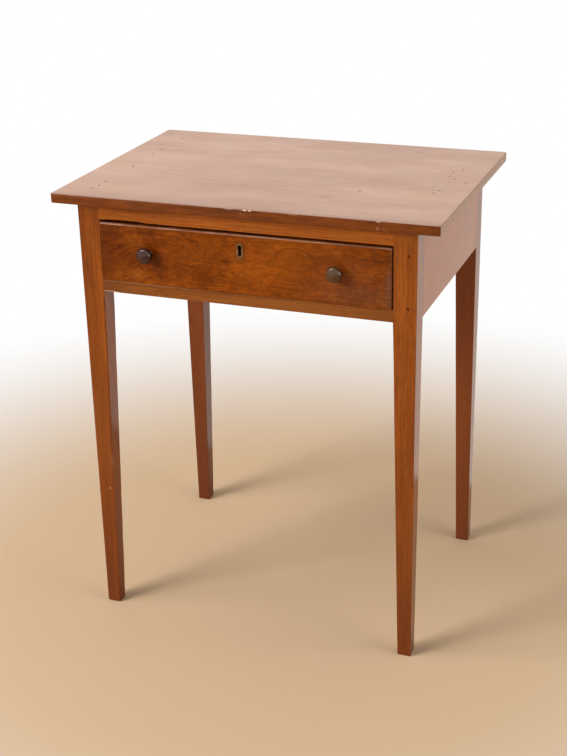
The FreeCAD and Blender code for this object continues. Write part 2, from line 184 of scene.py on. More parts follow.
def softenArrises(shell, wear, free=lambda edge: True):
    pick(shell, "EDGE", lambda edge: isArris(edge, wear["sides"]) and free(edge))
    bpy.ops.mesh.bevel(offset=wear["arris"], segments=wear["rounds"], affect="EDGES")
    bpy.ops.mesh.select_mode(type="VERT")
    bpy.ops.mesh.select_less()  # the flat faces beside the arris stay flat
    bpy.ops.object.vertex_group_add()
    bpy.ops.object.vertex_group_assign()
    leaveEdit()
    unevenness = bpy.data.textures.new("arrisWear", "CLOUDS")
    unevenness.noise_scale = wear["patch"]
    unevenness.noise_depth = shellFit["noiseDepth"]
    applyModifier(
        shell, "DISPLACE", texture=unevenness, texture_coords="LOCAL", strength=-wear["depth"],
        mid_level=shellFit["noiseMiddle"], vertex_group=shell.vertex_groups.active.name,
    )


def dropSlivers(piece):
    edit(piece)
    bpy.ops.mesh.select_all(action="SELECT")
    bpy.ops.mesh.remove_doubles(threshold=shellFit["sliver"])
    bpy.ops.mesh.dissolve_degenerate(threshold=shellFit["sliver"])
    leaveEdit()


def keepInside(piece, shell):
    applyModifier(piece, "BOOLEAN", operation="INTERSECT", solver="EXACT", object=shell)
    bpy.data.objects.remove(shell)
    dropSlivers(piece)


# Material tools

def tone(red, green, blue):  # a screen colour, 0 to 255, as the linear colour of a shader
    levels = [level / 255 for level in (red, green, blue)]
    return (*[v / 12.92 if v <= 0.04045 else ((v + 0.055) / 1.055) ** 2.4 for v in levels], 1.0)


def newFinish(name, **settings):
    material = bpy.data.materials.new(name)
    material.use_nodes = True
    tree = material.node_tree
    tree.nodes.clear()
    shader = tree.nodes.new("ShaderNodeBsdfPrincipled")
    output = tree.nodes.new("ShaderNodeOutputMaterial")
    tree.links.new(shader.outputs["BSDF"], output.inputs["Surface"])
    for socket, value in settings.items():
        shader.inputs[socket].default_value = value
    return material, tree, shader


def put(tree, kind, inputs, output=0, **settings):
    node = tree.nodes.new(kind)
    for setting, value in settings.items():
        setattr(node, setting, value)
    for socket, value in inputs.items():
        if isinstance(value, bpy.types.NodeSocket):
            tree.links.new(value, node.inputs[socket])
        else:
            node.inputs[socket].default_value = value
    return node.outputs[output]


def calc(tree, operation, *values):
    return put(tree, "ShaderNodeMath", dict(enumerate(values)), operation=operation)


def spread(tree, value, low, high, toLow=0.0, toHigh=1.0):
    inputs = {"Value": value, "From Min": low, "From Max": high, "To Min": toLow, "To Max": toHigh}
    return put(tree, "ShaderNodeMapRange", inputs, interpolation_type="SMOOTHSTEP")


def blend(tree, share, first, second, mode="MIX"):
    inputs = {0: share, 6: first, 7: second}
    return put(tree, "ShaderNodeMix", inputs, 2, data_type="RGBA", blend_type=mode)


def ramp(tree, value, stops):
    node = tree.nodes.new("ShaderNodeValToRGB")
    tree.links.new(value, node.inputs["Fac"])
    band = node.color_ramp
    while len(band.elements) < len(stops):
        band.elements.new(0.5)
    for element, (place, colour) in zip(band.elements, stops):
        element.position = place
        element.color = colour
    return node.outputs["Color"]


# detail and roughness
noiseKinds = {
    "single": (1.0, 0.5), "soft": (2.0, 0.5), "blotchy": (3.0, 0.55), "fine": (3.0, 0.6), "rich": (4.0, 0.6),
}
noiseRange = (0.3, 0.7)  # where most of a noise lies


def noise(tree, vector, stretch, kind="soft", output="Fac"):
    detail, roughness = noiseKinds[kind]
    stretched = put(tree, "ShaderNodeVectorMath", {0: vector, 1: stretch}, operation="MULTIPLY")
    inputs = {"Vector": stretched, "Scale": 1.0, "Detail": detail, "Roughness": roughness}
    return put(tree, "ShaderNodeTexNoise", inputs, output)


def objectPlace(tree):
    return put(tree, "ShaderNodeTexCoord", {}, "Object")


def partsOf(tree, vector):  # its X, Y and Z
    node = tree.nodes.new("ShaderNodeSeparateXYZ")
    tree.links.new(vector, node.inputs[0])
    return node.outputs


def placeParts(tree):
    return partsOf(tree, objectPlace(tree))


def normalParts(tree):
    return partsOf(tree, put(tree, "ShaderNodeTexCoord", {}, "Normal"))


def grainPlace(tree, axis):  # along the grain comes first, then the two directions across it
    place = placeParts(tree)
    order = {"X": "XYZ", "Y": "YXZ", "Z": "ZXY"}[axis]
    return put(tree, "ShaderNodeCombineXYZ", {i: place[letter] for i, letter in enumerate(order)})


def mound(tree, middle, reach, turn=0.0):  # 1 at the middle, fading out to nothing past the reach
    inputs = {
        "Vector": objectPlace(tree), "Location": middle, "Scale": reach, "Rotation": (0.0, turn, 0.0),
    }
    local = put(tree, "ShaderNodeMapping", inputs, vector_type="TEXTURE")
    square = put(tree, "ShaderNodeVectorMath", {0: local, 1: local}, "Value", operation="DOT_PRODUCT")
    return calc(tree, "EXPONENT", calc(tree, "MULTIPLY", square, -1.0))


def vary(tree, colour, field, share):  # lighter and darker by a share, as the noise goes
    factor = spread(tree, field, *noiseRange, 1.0 - share, 1.0 + share)
    return blend(tree, 1.0, colour, factor, "MULTIPLY")


def swayed(tree, grain, stretch, amount):  # the grain's coordinates, pushed about by a noise
    push = noise(tree, grain, stretch, output="Color")
    push = put(tree, "ShaderNodeVectorMath", {0: push, 1: (0.5, 0.5, 0.5)}, operation="SUBTRACT")
    push = put(tree, "ShaderNodeVectorMath", {0: push, "Scale": amount}, operation="SCALE")
    return put(tree, "ShaderNodeVectorMath", {0: grain, 1: push}, operation="ADD")


surfaceLook = {
    "endless": 1e6,  # stretches the rings until they no longer change along the grain
    "grainDepth": 0.2 * mm, "sheenStretch": (14.0, 14.0, 14.0), "fleckEdge": (0.58, 0.72),
}


def growthRings(tree, grain, wood):  # rings round a pith that lies outside the board, swaying along the grain
    moved = swayed(tree, grain, wood["swayStretch"], wood["sway"])
    inputs = {"Vector": moved, "Location": (0.0, *wood["pith"]), "Scale": (surfaceLook["endless"], 1.0, 1.0)}
    around = put(tree, "ShaderNodeMapping", inputs, vector_type="TEXTURE")
    radius = put(tree, "ShaderNodeVectorMath", {0: around}, "Value", operation="LENGTH")
    return calc(tree, "FRACT", calc(tree, "DIVIDE", radius, wood["ring"]))


def ringShade(tree, rings):  # soft early wood that darkens to a late-wood line
    early, later, late = ((level, level, level, 1.0) for level in (1.0, 0.9, 0.45))
    return ramp(tree, rings, [(0.0, late), (0.12, early), (0.55, later), (0.92, late), (1.0, late)])


def woodSurface(tree, shader, fibres, rings, wood):
    height = calc(tree, "ADD", fibres, rings)
    inputs = {"Strength": wood["bump"], "Distance": surfaceLook["grainDepth"], "Height": height}
    tree.links.new(put(tree, "ShaderNodeBump", inputs), shader.inputs["Normal"])
    sheen = noise(tree, objectPlace(tree), surfaceLook["sheenStretch"], "fine")
    tree.links.new(spread(tree, sheen, *noiseRange, *wood["rough"]), shader.inputs["Roughness"])


def darkFlecks(tree, grain, colour, wood):  # the short gum flecks of cherry
    flecks = noise(tree, grain, wood["fleckStretch"], "single")
    flecks = spread(tree, flecks, *surfaceLook["fleckEdge"], 1.0, 1.0 - wood["fleckShare"])
    return blend(tree, 1.0, colour, flecks, "MULTIPLY")


def blotches(tree, grain, wood):  # soft patches in the wood's own colours
    field = noise(tree, grain, wood["blotchStretch"], "blotchy")
    return ramp(tree, field, [(0.3, wood["dark"]), (0.5, wood["middle"]), (0.7, wood["light"])])


def woodBase(tree, grain, wood):  # blotches, growth rings, fine streaks and flecks
    colour = blotches(tree, grain, wood)
    rings = growthRings(tree, grain, wood)
    colour = blend(tree, wood["ringShare"], colour, ringShade(tree, rings), "MULTIPLY")
    fibres = noise(tree, grain, wood["fibreStretch"], "fine")
    colour = vary(tree, colour, fibres, wood["fibreShare"])
    return darkFlecks(tree, grain, colour, wood), fibres, rings


def addMarks(tree, colour, marks):  # middle and reach in mm
    for mark in marks:
        middle = tuple(place * mm for place in mark["middle"])
        reach = tuple(size * mm for size in mark["reach"])
        share = calc(tree, "MULTIPLY", mound(tree, middle, reach, mark.get("turn", 0.0)), mark["share"])
        colour = blend(tree, share, colour, mark["tone"])
    return colour


# what the woods of the frame have in common
frameWood = {
    "blotchStretch": (4.0, 44.0, 44.0), "swayStretch": (1.8, 7.0, 7.0), "sway": 0.02,
    "pith": (0.9, -1.3), "ring": 5 * mm, "ringShare": 0.2,
    "fibreStretch": (14.0, 420.0, 420.0), "fibreShare": 0.17,
    "fleckStretch": (60.0, 500.0, 500.0), "fleckShare": 0.36,
    "bump": 0.15, "rough": (0.22, 0.28), "ior": 1.24,
}
legWood = {
    **frameWood, "dark": tone(125, 60, 12), "middle": tone(140, 70, 16), "light": tone(152, 79, 20),
    "rough": (0.1, 0.15), "ior": 1.33,
    # the legs get darker towards the feet
    "footDarkening": tone(102, 49, 21), "footDarkeningTop": 0.45, "footDarkeningShare": 0.6,
    # painted shade: the back legs darken towards the back
    "paintedBackShade": tone(99, 50, 30), "backShadeStart": 0.0, "backShadeEnd": 0.17, "backShadeShare": 0.6,
}
topRailWood = {
    **frameWood, "dark": tone(156, 83, 26), "middle": tone(169, 92, 32), "light": tone(181, 100, 38),
}
bottomRailWood = {
    **frameWood, "dark": tone(114, 61, 22), "middle": tone(126, 70, 27), "light": tone(136, 78, 32),
}
apronWood = {
    **frameWood, "dark": tone(144, 71, 10), "middle": tone(153, 77, 12), "light": tone(161, 83, 15),
    "blotchStretch": (8.0, 30.0, 30.0), "ringShare": 0.05, "fibreShare": 0.07, "fleckShare": 0.1,
    "bump": 0.03, "rough": (0.2, 0.25), "ior": 1.38,
}
# a darker back apron, to go with the painted shade on the back legs
shadeMatchedBackWood = {
    **apronWood, "dark": tone(112, 55, 20), "middle": tone(124, 62, 24), "light": tone(135, 69, 28),
}
legMarks = [
    {"middle": (-249.3, -198, 220), "reach": (1.4, 4, 1.9), "tone": tone(206, 172, 138), "share": 0.6},
    {"middle": (-241.5, -198, 272), "reach": (2.0, 4, 9), "tone": tone(190, 140, 104), "share": 0.35},
    {"middle": (252.6, -198, 428), "reach": (1.8, 4, 3.4), "tone": tone(116, 44, 2), "share": 0.6},
    {"middle": (-250, -198, 335), "reach": (26, 4, 85), "tone": tone(114, 60, 26), "share": 0.45},
    # a paler band down the inner front arris of the front left leg: rubbed wear and a painted highlight
    {"middle": (-240.6, -198, 240), "reach": (1.6, 4, 130), "turn": 0.024,
     "tone": tone(172, 104, 66), "share": 0.35},
    {"middle": (260, -198, 60), "reach": (8, 4, 110), "tone": tone(94, 42, 14), "share": 0.25},
    {"middle": (250, 180, 300), "reach": (40, 30, 300), "tone": tone(148, 78, 36), "share": 0.45},
    {"middle": (251, -198, 697), "reach": (30, 4, 11), "tone": tone(164, 90, 28), "share": 0.5},
]
topRailPaintedShadow = [
    # painted shadow of the top's overhang on the upper left of the top rail
    {"middle": (-170, -198, 704), "reach": (90, 20, 16), "tone": tone(104, 48, 8), "share": 0.5},
]
bottomRailMarks = [
    {"middle": (-226, -198, 577), "reach": (36, 40, 16), "tone": tone(98, 52, 28), "share": 0.55},
    {"middle": (-222, -198, 567.5), "reach": (12, 4, 1.4), "tone": tone(216, 186, 160), "share": 0.7},
    # a paler upper arris at the left of the bottom rail: rubbed wear and a painted highlight
    {"middle": (-160, -198, 586.4), "reach": (70, 4, 1.4), "tone": tone(196, 150, 116), "share": 0.6},
    {"middle": (90, -198, 577), "reach": (180, 60, 16), "tone": tone(158, 94, 44), "share": 0.4},
]


def makeWood(name, axis, wood, marks=(), standing=False):
    material, tree, shader = newFinish(name, IOR=wood["ior"])
    colour, fibres, rings = woodBase(tree, grainPlace(tree, axis), wood)
    if standing:  # the legs get darker towards the feet, and a painted shade darkens them towards the back
        place = placeParts(tree)
        footward = spread(tree, place["Z"], 0.0, wood["footDarkeningTop"], wood["footDarkeningShare"], 0.0)
        colour = blend(tree, footward, colour, wood["footDarkening"])
        # painted shade, darker towards the back
        behind = spread(tree, place["Y"], wood["backShadeStart"], wood["backShadeEnd"], 0.0, wood["backShadeShare"])
        colour = blend(tree, behind, colour, wood["paintedBackShade"])
    tree.links.new(addMarks(tree, colour, marks), shader.inputs["Base Color"])
    woodSurface(tree, shader, fibres, rings, wood)
    return material


topWood = {
    "dark": tone(160, 119, 96), "middle": tone(169, 128, 104), "light": tone(178, 138, 113),
    "blotchStretch": (5.0, 16.0, 16.0), "swayStretch": (2.0, 6.0, 6.0), "sway": 0.03,
    "pith": (0.03, 0.55), "ring": 9 * mm, "ringShare": 0.07,
    "fibreStretch": (16.0, 330.0, 330.0), "fibreShare": 0.07,
    "fleckStretch": (45.0, 500.0, 500.0), "fleckShare": 0.12,
    "bump": 0.12, "rough": (0.3, 0.38), "ior": 1.38,
    "edge": tone(107, 50, 10), "endGrain": tone(136, 84, 38), "edgeRough": (0.2, 0.27),
    "edgeStretch": (30.0, 160.0, 160.0), "edgeShare": 0.25,
    "sideTurn": (0.5, 0.9), "upTurn": (0.6, 0.95),
    "bare": tone(248, 222, 188), "bareReach": 2.6 * mm, "bareEdge": (0.25, 0.5),
    "marks": [
        {"middle": (144, -73.5, 723), "reach": (3.2, 3.2, 3.2), "tone": tone(70, 40, 28), "share": 0.8},
        {"middle": (286, 14.5, 723), "reach": (4, 4, 4), "tone": tone(70, 40, 28), "share": 0.5},
        {"middle": (170, 181.5, 723), "reach": (6, 6, 6), "tone": tone(70, 40, 28), "share": 0.25},
        {"middle": (78, 101.5, 723), "reach": (6, 6, 6), "tone": tone(70, 40, 28), "share": 0.2},
        {"middle": (101, -118.5, 723), "reach": (6, 6, 6), "tone": tone(70, 40, 28), "share": 0.25},
        {"middle": (40, -215, 723), "reach": (420, 44, 60), "tone": tone(128, 86, 66), "share": 0.34},
        {"middle": (0, -216, 723), "reach": (700, 7, 30), "tone": tone(104, 58, 34), "share": 0.5},
    ],
    # bruises on the front edge
    "edgeMarks": [
        {"middle": (214, -215, 712), "reach": (2.0, 3, 1.8), "tone": tone(206, 164, 134), "share": 0.28},
        {"middle": (223, -215, 711.5), "reach": (2.4, 3, 2.2), "tone": tone(186, 140, 108), "share": 0.12},
        {"middle": (7, -215, 717), "reach": (2.0, 3, 1.0), "tone": tone(206, 164, 134), "share": 0.2},
        {"middle": (13, -215, 714.5), "reach": (2.4, 3, 1.2), "tone": tone(190, 146, 116), "share": 0.15},
        {"middle": (10, -215, 719), "reach": (2.6, 3, 1.0), "tone": tone(66, 32, 14), "share": 0.7},
        {"middle": (-12, -215, 721), "reach": (9, 3, 1.0), "tone": tone(70, 32, 12), "share": 0.7},
        {"middle": (28, -215, 720.5), "reach": (7, 3, 1.0), "tone": tone(70, 32, 12), "share": 0.6},
    ],
}


def makeTopCherry():
    material, tree, shader = newFinish("topCherry", IOR=topWood["ior"])
    grain = grainPlace(tree, "X")
    colour, fibres, rings = woodBase(tree, grain, topWood)
    colour = addMarks(tree, colour, topWood["marks"])
    normal = normalParts(tree)
    sideways = spread(tree, calc(tree, "ABSOLUTE", normal["X"]), *topWood["sideTurn"])
    edge = blend(tree, sideways, topWood["edge"], topWood["endGrain"])
    streaks = noise(tree, grain, topWood["edgeStretch"], "rich")
    edge = addMarks(tree, vary(tree, edge, streaks, topWood["edgeShare"]), topWood["edgeMarks"])
    upward = spread(tree, normal["Z"], *topWood["upTurn"])
    colour = blend(tree, upward, edge, colour)
    front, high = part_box("top_board")[0].y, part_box("top_board")[1].z
    for chip in topWear["chips"]:
        reach = (chip["half"], topWood["bareReach"], topWood["bareReach"])
        mark = mound(tree, (chip["middle"], front, high), reach)
        share = spread(tree, mark, *topWood["bareEdge"], 0.0, chip["bare"])
        colour = blend(tree, share, colour, topWood["bare"])
    tree.links.new(colour, shader.inputs["Base Color"])
    woodSurface(tree, shader, fibres, rings, topWood)
    polish = shader.inputs["Roughness"].links[0].from_socket
    edgeRough = spread(tree, sideways, 0.0, 1.0, *topWood["edgeRough"])
    rough = spread(tree, upward, 0.0, 1.0, edgeRough, polish)
    tree.links.new(rough, shader.inputs["Roughness"])
    return material


drawerWood = {
    "dark": tone(103, 46, 4), "middle": tone(130, 61, 6), "light": tone(153, 78, 11),
    "blotchStretch": (11.0, 24.0, 24.0), "fibreStretch": (14.0, 420.0, 420.0), "fibreShare": 0.05,
    "fleckStretch": (110.0, 300.0, 300.0), "fleckShare": 0.3,
    "line": 7.0, "lineShare": (0.18, 0.6), "eyeShare": 0.4,
    "lineStretch": (14.0, 30.0, 30.0), "lineRange": (0.35, 0.65),
    "wander": 2.6, "wanderStretch": (7.0, 14.0, 14.0), "ripple": 2.2, "rippleStretch": (30.0, 44.0, 44.0),
    "wobbleStretch": (70.0, 70.0, 70.0), "figureDepth": 100 * mm,
    "curl": 0.03, "curlStretch": (18.0, 30.0, 30.0), "wispStretch": (90.0, 150.0, 150.0), "wispShare": 0.22,
    "bump": 0.15, "rough": (0.22, 0.28), "ior": 1.24,
    # knots and swirls in the figure: middle x and z and reach in mm, and how many lines they lift
    "swirls": [
        {"middle": (85, 643), "reach": (36, 18), "lift": 5.0, "turn": 0.1},
        {"middle": (-68, 606), "reach": (20, 11), "lift": 3.0, "turn": 0.0},
        {"middle": (-250, 612), "reach": (60, 34), "lift": 6.0, "turn": 0.0},
        {"middle": (-150, 618), "reach": (34, 16), "lift": -2.8, "turn": 0.3},
        {"middle": (10, 612), "reach": (40, 14), "lift": 2.0, "turn": 0.0},
        {"middle": (-60, 655), "reach": (36, 12), "lift": 2.6, "turn": 0.35},
    ],
    # closed lines of the figure, drawn where the lobes add up to the same height
    "rings": [
        {"share": 0.6, "wobble": 0.22, "lobes": [
            {"middle": (85, 648.5), "reach": (30, 17), "turn": 0.1, "lift": 1.0},
            {"middle": (48, 639.5), "reach": (14, 6), "turn": 0.0, "lift": 0.45},
        ]},
        {"share": 0.35, "wobble": 0.3, "lobes": [
            {"middle": (83, 649), "reach": (10, 6), "turn": 0.1, "lift": 1.0},
        ]},
        {"share": 0.45, "wobble": 0.3, "lobes": [
            {"middle": (-68, 610.5), "reach": (13, 8), "turn": 0.0, "lift": 1.0},
        ]},
        {"share": 0.4, "wobble": 0.3, "lobes": [
            {"middle": (-175, 602), "reach": (18, 11), "turn": 0.0, "lift": 1.0},
        ]},
        {"share": 0.4, "wobble": 0.25, "lobes": [
            {"middle": (203, 645), "reach": (30, 14), "turn": 0.1, "lift": 1.0},
        ]},
    ],
    "ringLine": tone(74, 28, 4), "ringLevel": 0.37, "ringWidth": (0.02, 0.08),
    "marks": [
        {"middle": (-24, -200, 637), "reach": (10, 90, 5.2), "tone": tone(70, 22, 2), "share": 0.88},
        {"middle": (24, -200, 642.5), "reach": (30, 90, 1.8), "tone": tone(74, 28, 4), "share": 0.4},
        {"middle": (84, -200, 650), "reach": (9, 90, 6), "tone": tone(88, 38, 6), "share": 0.3},
        {"middle": (-154, -200, 668), "reach": (15, 90, 5), "tone": tone(70, 26, 6), "share": 0.6},
        {"middle": (-118, -200, 664), "reach": (13, 90, 5), "tone": tone(78, 30, 8), "share": 0.35},
        {"middle": (-175, -200, 602), "reach": (15, 90, 9), "tone": tone(160, 86, 26), "share": 0.5},
        # painted grey reflection of the wall on the worn right arris
        {"middle": (227, -200, 628), "reach": (4, 90, 16), "tone": tone(104, 80, 70), "share": 0.55},
        {"middle": (226, -200, 598), "reach": (4, 90, 10), "tone": tone(92, 66, 56), "share": 0.45},
        {"middle": (-228, -200, 640), "reach": (46, 90, 60), "tone": tone(62, 20, 7), "share": 0.55},
        {"middle": (70, -200, 640), "reach": (90, 90, 40), "tone": tone(162, 82, 8), "share": 0.35},
        {"middle": (185, -200, 604), "reach": (70, 90, 20), "tone": tone(70, 53, 44), "share": 0.4},
        {"middle": (-150, -200, 634), "reach": (26, 90, 22), "tone": tone(92, 34, 8), "share": 0.5},
        {"middle": (165, -200, 634), "reach": (60, 90, 34), "tone": tone(84, 46, 38), "share": 0.22},
        {"middle": (-2.4, -200, 654.5), "reach": (7.4, 90, 13.4), "tone": tone(64, 30, 10), "share": 0.9},
    ],
    # the arrises at the top and at the right are rubbed paler, and carry a painted reflection of the bright
    # surroundings, pale at the top and grey at the right
    "wearAndHighlight": [
        {"way": "Z", "tone": tone(172, 132, 108), "turn": (0.12, 0.5), "share": (0.3, 0.85)},
        {"way": "X", "tone": tone(112, 82, 66), "turn": (0.12, 0.5), "share": (0.25, 0.65)},
    ],
    "wearAndHighlightPatch": (30.0, 30.0, 30.0), "wearAndHighlightRange": (0.35, 0.65), "wearAndHighlightDepth": (2 * mm, 6 * mm),
}


def addSwirl(tree, swirl, field, lift):
    middle = (swirl["middle"][0] * mm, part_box("drawer_front")[0].y, swirl["middle"][1] * mm)
    reach = (swirl["reach"][0] * mm, drawerWood["figureDepth"], swirl["reach"][1] * mm)
    return calc(tree, "MULTIPLY_ADD", mound(tree, middle, reach, swirl["turn"]), lift, field)


def drawerFigure(tree, grain):  # curly lines that come and go, lifted by the knots and swirls
    field = calc(tree, "DIVIDE", placeParts(tree)["Z"], drawerWood["line"] * mm)
    for bend in ("wander", "ripple"):
        sway = noise(tree, grain, drawerWood[bend + "Stretch"])
        field = calc(tree, "MULTIPLY_ADD", sway, drawerWood[bend], field)
    for swirl in drawerWood["swirls"]:
        field = addSwirl(tree, swirl, field, swirl["lift"])
    return calc(tree, "FRACT", field)


def addRings(tree, grain, colour):
    wobble = noise(tree, grain, drawerWood["wobbleStretch"])
    for ring in drawerWood["rings"]:
        field = calc(tree, "MULTIPLY_ADD", wobble, ring["wobble"], -0.5 * ring["wobble"])
        for lobe in ring["lobes"]:
            field = addSwirl(tree, lobe, field, lobe["lift"])
        away = calc(tree, "ABSOLUTE", calc(tree, "SUBTRACT", field, drawerWood["ringLevel"]))
        share = spread(tree, away, *drawerWood["ringWidth"], ring["share"], 0.0)
        colour = blend(tree, share, colour, drawerWood["ringLine"])
    return colour


def curlyWisps(tree, grain):
    moved = swayed(tree, grain, drawerWood["curlStretch"], drawerWood["curl"])
    return noise(tree, moved, drawerWood["wispStretch"], "blotchy")


def makeDrawerCherry():
    material, tree, shader = newFinish("drawerCherry", IOR=drawerWood["ior"])
    grain = grainPlace(tree, "X")
    colour = blotches(tree, grain, drawerWood)
    colour = vary(tree, colour, curlyWisps(tree, grain), drawerWood["wispShare"])
    lines = drawerFigure(tree, grain)
    strength = noise(tree, grain, drawerWood["lineStretch"])
    strength = spread(tree, strength, *drawerWood["lineRange"], *drawerWood["lineShare"])
    eye = addSwirl(tree, drawerWood["swirls"][0], strength, drawerWood["eyeShare"])
    colour = blend(tree, eye, colour, ringShade(tree, lines), "MULTIPLY")
    fibres = noise(tree, grain, drawerWood["fibreStretch"], "fine")
    colour = vary(tree, colour, fibres, drawerWood["fibreShare"])
    colour = addRings(tree, grain, darkFlecks(tree, grain, colour, drawerWood))
    colour = addMarks(tree, colour, drawerWood["marks"])
    normal = normalParts(tree)
    patches = noise(tree, grain, drawerWood["wearAndHighlightPatch"], "fine")
    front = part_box("drawer_front")[0].y
    start, end = (front + depth for depth in drawerWood["wearAndHighlightDepth"])
    nearFront = spread(tree, placeParts(tree)["Y"], start, end, 1.0, 0.0)
    # rubbed arrises near the front face, with painted reflections: pale on the top arris, grey on the right
    # one
    for wearAndHighlight in drawerWood["wearAndHighlight"]:
        turned = calc(tree, "MULTIPLY", nearFront, spread(tree, normal[wearAndHighlight["way"]], *wearAndHighlight["turn"]))
        share = spread(tree, patches, *drawerWood["wearAndHighlightRange"], *wearAndHighlight["share"])
        share = calc(tree, "MULTIPLY", turned, share)
        colour = blend(tree, share, colour, wearAndHighlight["tone"])
    tree.links.new(colour, shader.inputs["Base Color"])
    woodSurface(tree, shader, fibres, lines, drawerWood)
    return material


insideWood = {
    "dark": tone(168, 128, 84), "middle": tone(190, 150, 102), "light": tone(206, 170, 122),
    "blotchStretch": (3.0, 20.0, 20.0), "swayStretch": (1.5, 6.0, 6.0), "sway": 0.03,
    "pith": (0.1, 0.2), "ring": 5 * mm, "ringShare": 0.3,
    "fibreStretch": (9.0, 420.0, 420.0), "fibreShare": 0.1,
    "fleckStretch": (45.0, 700.0, 700.0), "fleckShare": 0.12,
    "bump": 0.3, "rough": (0.6, 0.75), "ior": 1.3,
}
plainPatch = (240.0, 240.0, 240.0)


def makePlain(name, dark, light, rough, metallic=0.0, ior=1.45):
    material, tree, shader = newFinish(name, Metallic=metallic, IOR=ior)
    patches = noise(tree, objectPlace(tree), plainPatch, "rich")
    tree.links.new(ramp(tree, patches, [(0.35, dark), (0.65, light)]), shader.inputs["Base Color"])
    tree.links.new(spread(tree, patches, *noiseRange, *rough), shader.inputs["Roughness"])
    return material


topWear = {
    "sides": ("left", "right", "front", "back", "high", "low"), "steps": {0: 6 * mm, 1: 9 * mm},
    "arris": 0.7 * mm, "rounds": 3, "patch": 25 * mm, "depth": 0.35 * mm, "rim": 2.4 * mm,
    "chips": [
        {"middle": 12.5 * mm, "half": 4.2 * mm, "cut": (0, 1.2 * mm, -1.2 * mm), "bare": 0.9},
        {"middle": 21 * mm, "half": 2.0 * mm, "cut": (0, 0.6 * mm, -0.6 * mm), "bare": 0.6},
        {"middle": -12 * mm, "half": 8 * mm, "cut": (0, 0.25 * mm, -0.25 * mm), "bare": 0.12},
        {"middle": 86 * mm, "half": 9 * mm, "cut": (0, 0.2 * mm, -0.2 * mm), "bare": 0.06},
        {"middle": 215 * mm, "half": 4 * mm, "cut": (0, 0.6 * mm, -0.6 * mm), "bare": 0.2},
    ],
}

legCherry = makeWood("legCherry", "Z", legWood, legMarks, standing=True)
topRailCherry = makeWood("topRailCherry", "X", topRailWood, topRailPaintedShadow)
bottomRailCherry = makeWood("bottomRailCherry", "X", bottomRailWood, bottomRailMarks)
shadeMatchedBackCherry = makeWood("shadeMatchedBackCherry", "X", shadeMatchedBackWood)
sideCherry = makeWood("sideCherry", "Y", apronWood)
topCherry = makeTopCherry()
drawerCherry = makeDrawerCherry()
lengthwiseInside = makeWood("insideLengthwise", "Y", insideWood)
crosswiseInside = makeWood("insideCrosswise", "X", insideWood)
leftKnobWood = makePlain("leftKnobWood", tone(46, 17, 11), tone(62, 27, 18), (0.12, 0.17), ior=1.5)
rightKnobWood = makePlain("rightKnobWood", tone(64, 35, 13), tone(86, 53, 24), (0.14, 0.19), ior=1.5)
keyholeBrass = makePlain("keyholeBrass", tone(96, 68, 36), tone(138, 100, 52), (0.4, 0.55), 0.35)
lockIron = makePlain("lockIron", tone(46, 42, 40), tone(84, 76, 68), (0.4, 0.6), 0.8)
nailIron = makePlain("nailIron", tone(80, 28, 2), tone(100, 40, 6), (0.6, 0.75), ior=1.15)
topNailIron = makePlain("topNailIron", tone(72, 44, 30), tone(104, 68, 50), (0.2, 0.3), ior=1.38)
print("finishes made")


# Top board, with a worn and chipped front arris

def makeTop():
    low, high = shellBox("top_board", topWear["sides"])
    shell = addBlock("topShell", low, high)
    edit(shell)
    divideAlong(shell, topWear["steps"])
    softenArrises(shell, topWear)
    edit(shell)
    rim = topWear["rim"]
    for chip in topWear["chips"]:
        pick(shell, "VERT", lambda vert: abs(vert.co.x - chip["middle"]) < chip["half"]
             and vert.co.y < low.y + rim and vert.co.z > high.z - rim)
        bpy.ops.transform.translate(value=chip["cut"])
    leaveEdit()
    top = cadCopy("top_board", "tableTop")
    keepInside(top, shell)
    finishPiece(top, "top_board", "frame", topCherry)


makeTop()
print("top made")


# Legs, square above and tapered on the inner faces below the aprons

legWear = {
    "sides": ("left", "right", "front", "back", "low"), "steps": {2: 14 * mm},
    "arris": 0.8 * mm, "rounds": 3, "patch": 35 * mm, "depth": 0.3 * mm,
    "footBand": 5 * mm, "near": 1 * mm,
}
roundedWear = {**legWear, "arris": 2.4 * mm, "rounds": 4, "depth": 0.8 * mm}
# out points to the corner that stays straight; some arrises are rounder, named by the faces beside them
legs = [
    {"node": "front_left_leg", "name": "frontLeftLeg", "out": (-1, -1),
     "rounded": ({"front", "right"}, {"right", "back"}, {"front", "low"}, {"left", "low"})},
    {"node": "front_right_leg", "name": "frontRightLeg", "out": (1, -1), "rounded": ()},
    {"node": "back_left_leg", "name": "backLeftLeg", "out": (-1, 1), "rounded": ()},
    {"node": "back_right_leg", "name": "backRightLeg", "out": (1, 1), "rounded": ({"right", "back"},)},
]


def footWidth(node):
    across = [vert.co.x for vert in frame["nodes"][node].data.vertices if vert.co.z < legWear["footBand"]]
    return max(across) - min(across)


def atCorner(vert, corner):
    return all(abs(vert.co[axis] - corner[axis]) < legWear["near"] for axis in (0, 1))


